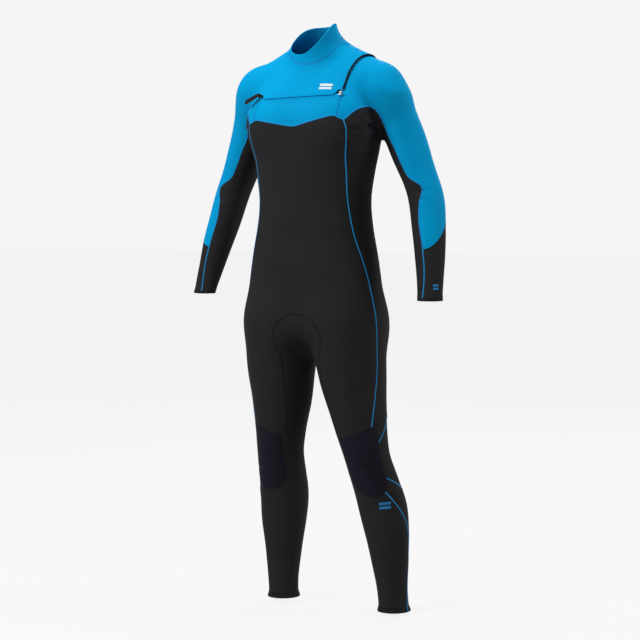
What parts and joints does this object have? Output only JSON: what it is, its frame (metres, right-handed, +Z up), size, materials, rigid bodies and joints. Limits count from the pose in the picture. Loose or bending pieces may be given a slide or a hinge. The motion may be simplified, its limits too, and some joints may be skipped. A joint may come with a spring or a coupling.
{
  "type": "full wetsuit",
  "caption": "Full-length chest-zip wetsuit in its worn shape, with neoprene panels, collar and entry flap, zip, cuffs, knee pads and ankle hems.",
  "frame": {"origin": "on the body's centre line at the height where the shoulders or a wide hanger carry the suit, at mount shoulder_rest", "axes": "+Z up along the body, -Y the front of the suit, +X towards the wearer's left"},
  "size_m": [0.711, 0.234, 1.4571],
  "materials": {
    "blue_neoprene": "blue nylon jersey laminated on 3 mm neoprene",
    "black_neoprene": "black nylon jersey laminated on 3 mm neoprene",
    "knee_pad_fabric": "abrasion-resistant woven knee pad on 3 mm neoprene",
    "hem_neoprene": "turned and stitched neoprene hem",
    "zip_tape": "woven zip tape and bound edge",
    "zip_coil": "moulded zip teeth",
    "zip_slider_metal": "black coated zip slider",
    "zip_metal": "plated zip retainer box",
    "pull_rubber": "ribbed rubber pull tab"
  },
  "bodies": {
    "torso": {"back_panel": "black_neoprene", "back_yoke": "blue_neoprene", "chest_panel": "blue_neoprene", "crotch_gusset": "black_neoprene", "front_body": "black_neoprene", "left_shoulder": "blue_neoprene", "left_side_panel": "black_neoprene", "left_waist_panel": "black_neoprene", "lower_zip_coil": "zip_coil", "lower_zip_tape": "zip_tape", "right_shoulder": "blue_neoprene", "right_side_panel": "black_neoprene", "right_waist_panel": "black_neoprene", "seat_panel": "black_neoprene", "water_barrier": "black_neoprene", "zip_retainer_box": "zip_metal"},
    "entry_flap": {"collar": "blue_neoprene", "flap_binding": "zip_tape", "front_yoke": "blue_neoprene", "upper_zip_coil": "zip_coil", "upper_zip_tape": "zip_tape"},
    "slider": {"zip_slider": "zip_slider_metal"},
    "pull": {"pull_tab": "pull_rubber"},
    "left_upper_arm": {"left_upper_arm": "blue_neoprene", "left_upper_arm_inner": "black_neoprene"},
    "left_forearm": {"left_cuff": "hem_neoprene", "left_forearm": "blue_neoprene", "left_forearm_inner": "black_neoprene", "left_wrist_panel": "black_neoprene"},
    "left_thigh": {"left_thigh": "black_neoprene", "left_thigh_front": "black_neoprene", "left_thigh_inner": "black_neoprene"},
    "left_shin": {"left_ankle_hem": "hem_neoprene", "left_calf_panel": "black_neoprene", "left_knee_pad": "knee_pad_fabric", "left_shin_panel": "black_neoprene"},
    "right_upper_arm": {"right_upper_arm": "blue_neoprene", "right_upper_arm_inner": "black_neoprene"},
    "right_forearm": {"right_cuff": "hem_neoprene", "right_forearm": "blue_neoprene", "right_forearm_inner": "black_neoprene", "right_wrist_panel": "black_neoprene"},
    "right_thigh": {"right_thigh": "black_neoprene", "right_thigh_front": "black_neoprene", "right_thigh_inner": "black_neoprene"},
    "right_shin": {"right_ankle_hem": "hem_neoprene", "right_calf_panel": "black_neoprene", "right_knee_pad": "knee_pad_fabric", "right_shin_panel": "black_neoprene"}
  },
  "joints": [
    {"name": "entry_flap_lift", "type": "hinge", "parent": "torso", "child": "entry_flap", "pos_m": [0, 0.108, 0.005], "axis": [-1, 0, 0], "range_deg": [0, 50]},
    {"name": "zip_slide", "type": "hinge", "parent": "torso", "child": "slider", "pos_m": [0, 0.337, -0.094], "axis": [0, 0, 1], "range_deg": [0, 28]},
    {"name": "pull_tab_lift", "type": "hinge", "parent": "slider", "child": "pull", "pos_m": [-0.10929, -0.08482, -0.08791], "axis": [-0.4158, 0.5668, 0.7112], "range_deg": [0, 110]},
    {"name": "left_shoulder_raise", "type": "hinge", "parent": "torso", "child": "left_upper_arm", "pos_m": [0.172, 0.044, -0.006], "axis": [0, -1, 0], "range_deg": [0, 60], "stiffness_Nm_per_rad": 0.3, "springref_deg": -22.92},
    {"name": "left_elbow_flex", "type": "hinge", "parent": "left_upper_arm", "child": "left_forearm", "pos_m": [0.277, 0.013, -0.3375], "axis": [-1, 0, 0], "range_deg": [0, 90], "stiffness_Nm_per_rad": 0.15, "springref_deg": -34.38},
    {"name": "left_hip_flex", "type": "hinge", "parent": "torso", "child": "left_thigh", "pos_m": [0.09864, -0.08689, -0.76], "axis": [-1, 0, 0], "range_deg": [0, 60], "stiffness_Nm_per_rad": 1.2, "springref_deg": -28.65},
    {"name": "left_knee_flex", "type": "hinge", "parent": "left_thigh", "child": "left_shin", "pos_m": [0.14, 0.078, -0.98], "axis": [1, 0, 0], "range_deg": [0, 90], "stiffness_Nm_per_rad": 0.5, "springref_deg": -28.65},
    {"name": "right_shoulder_raise", "type": "hinge", "parent": "torso", "child": "right_upper_arm", "pos_m": [-0.172, 0.044, -0.006], "axis": [0, 1, 0], "range_deg": [0, 60], "stiffness_Nm_per_rad": 0.3, "springref_deg": -22.92},
    {"name": "right_elbow_flex", "type": "hinge", "parent": "right_upper_arm", "child": "right_forearm", "pos_m": [-0.28224, 0.013, -0.3375], "axis": [-1, 0, 0], "range_deg": [0, 90], "stiffness_Nm_per_rad": 0.15, "springref_deg": -34.38},
    {"name": "right_hip_flex", "type": "hinge", "parent": "torso", "child": "right_thigh", "pos_m": [-0.10237, -0.08689, -0.76], "axis": [-1, 0, 0], "range_deg": [0, 60], "stiffness_Nm_per_rad": 1.2, "springref_deg": -28.65},
    {"name": "right_knee_flex", "type": "hinge", "parent": "right_thigh", "child": "right_shin", "pos_m": [-0.108, 0.078, -0.98], "axis": [1, 0, 0], "range_deg": [0, 90], "stiffness_Nm_per_rad": 0.5, "springref_deg": -28.65}
  ]
}
